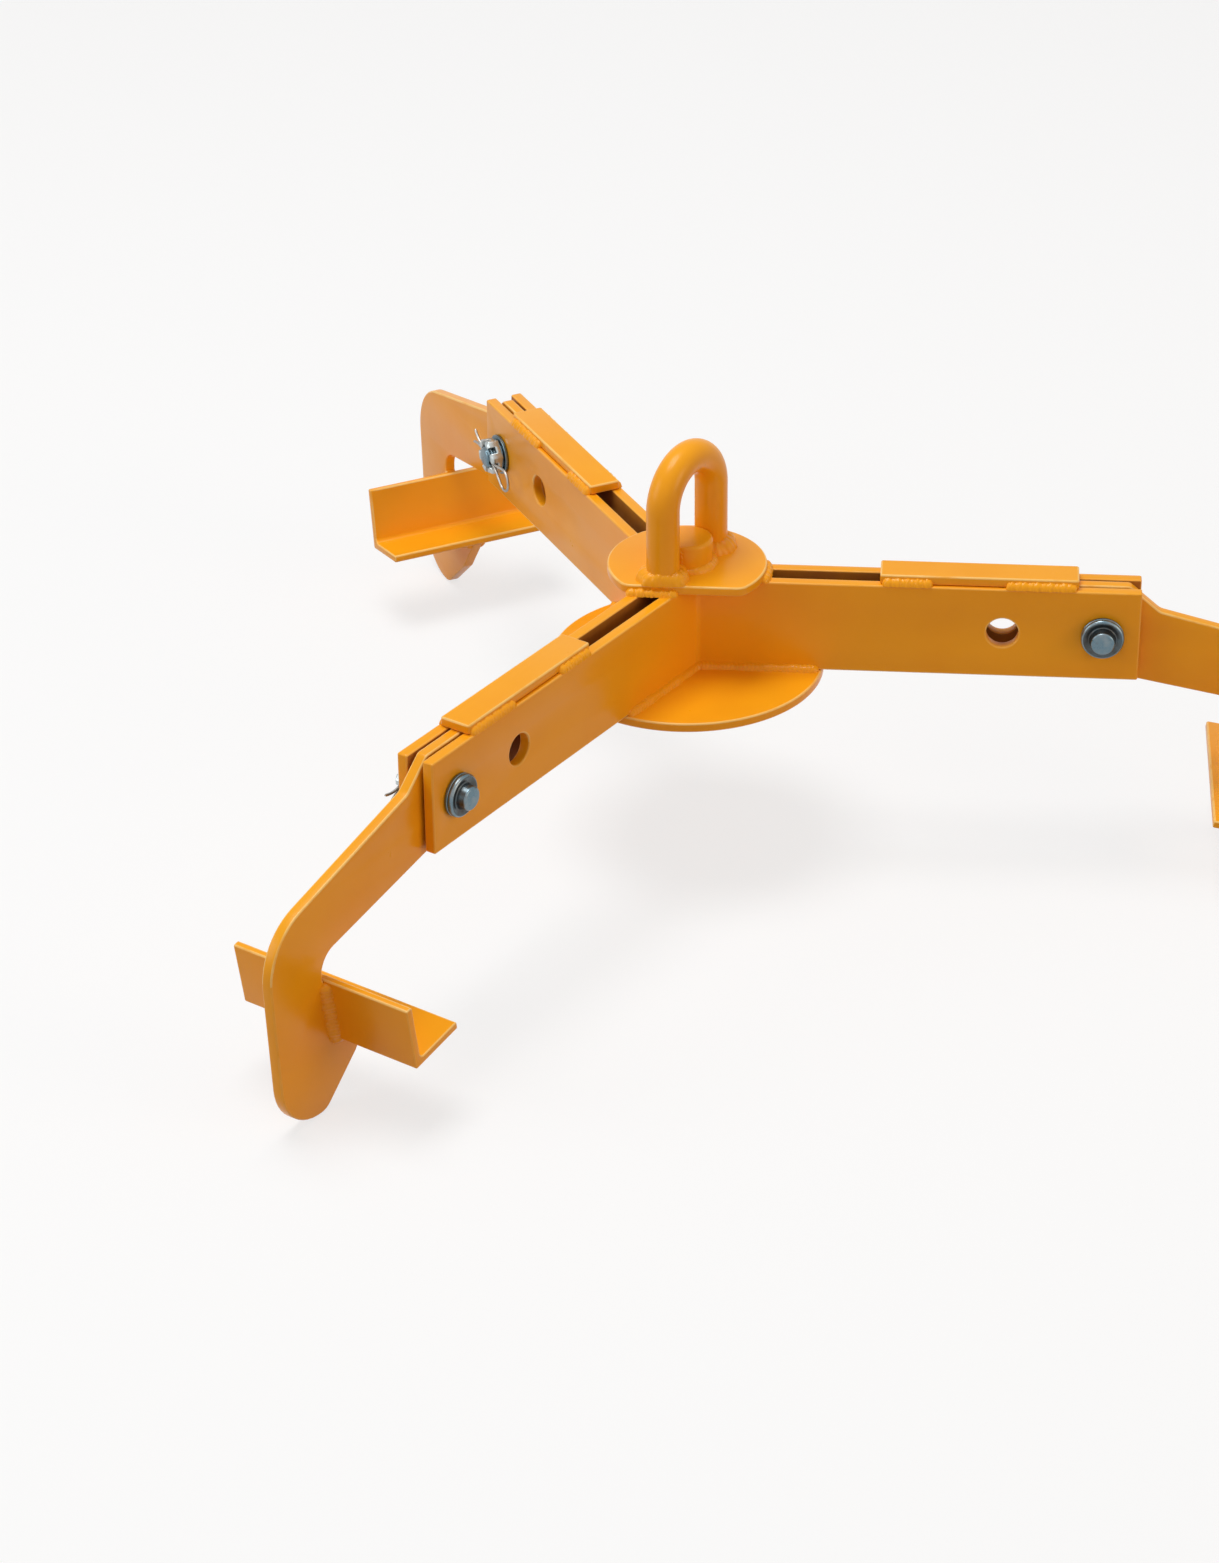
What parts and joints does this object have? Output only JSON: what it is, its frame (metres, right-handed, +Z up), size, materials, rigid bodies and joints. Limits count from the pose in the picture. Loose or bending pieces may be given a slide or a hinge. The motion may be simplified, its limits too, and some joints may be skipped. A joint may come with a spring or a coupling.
{
  "type": "drum lifter",
  "caption": "Vertical drum lifter: slotted arms spread from a hub with a lifting eye, and each carries a swinging hook whose angle jaw grips the drum's top rim.",
  "frame": {"origin": "the point inside the lifting eye where the hoist bears, on the hub's axis", "axes": "+Z up along the hub's axis, +X outwards along arm 1; arms 2 and 3 follow at 120 and 240 degrees"},
  "size_m": [0.5495, 0.607, 0.2265],
  "materials": {
    "arm_paint": "gloss yellow-orange enamel on bent flat bar, with weld beads",
    "hub_paint": "gloss yellow-orange enamel on cut discs",
    "eye_paint": "gloss yellow-orange enamel on round bar, rubbed where the hoist bears",
    "hook_paint": "gloss yellow-orange enamel on cut plate and angle bar",
    "zinc_steel": "bright zinc plate, slightly blue",
    "plain_steel": "plain drawn steel, satin"
  },
  "bodies": {
    "frame": {"side_plate_1": "arm_paint", "side_plate_2": "arm_paint", "side_plate_3": "arm_paint", "top_disc": "hub_paint", "base_disc": "hub_paint", "eye_boss": "hub_paint", "lifting_eye": "eye_paint", "cap_plate_1": "arm_paint", "pivot_bolt_1": "zinc_steel", "head_washer_1": "zinc_steel", "nut_washer_1": "zinc_steel", "castle_nut_1": "zinc_steel", "pivot_bush_1": "plain_steel", "split_pin_1": "plain_steel", "cap_plate_2": "arm_paint", "pivot_bolt_2": "zinc_steel", "head_washer_2": "zinc_steel", "nut_washer_2": "zinc_steel", "castle_nut_2": "zinc_steel", "pivot_bush_2": "plain_steel", "split_pin_2": "plain_steel", "cap_plate_3": "arm_paint", "pivot_bolt_3": "zinc_steel", "head_washer_3": "zinc_steel", "nut_washer_3": "zinc_steel", "castle_nut_3": "zinc_steel", "pivot_bush_3": "plain_steel", "split_pin_3": "plain_steel"},
    "hook_1": {"hook_plate_1": "hook_paint", "rim_jaw_1": "hook_paint"},
    "hook_2": {"hook_plate_2": "hook_paint", "rim_jaw_2": "hook_paint"},
    "hook_3": {"hook_plate_3": "hook_paint", "rim_jaw_3": "hook_paint"}
  },
  "joints": [
    {"name": "hook_swing_1", "type": "hinge", "parent": "frame", "child": "hook_1", "pos_m": [0.213, 0, -0.0805], "axis": [0, -1, 0], "range_deg": [0, 80]},
    {"name": "hook_swing_2", "type": "hinge", "parent": "frame", "child": "hook_2", "pos_m": [-0.1065, 0.18446, -0.0805], "axis": [0.866, 0.5, 0], "range_deg": [0, 80]},
    {"name": "hook_swing_3", "type": "hinge", "parent": "frame", "child": "hook_3", "pos_m": [-0.1065, -0.18446, -0.0805], "axis": [-0.866, 0.5, 0], "range_deg": [0, 80]}
  ]
}
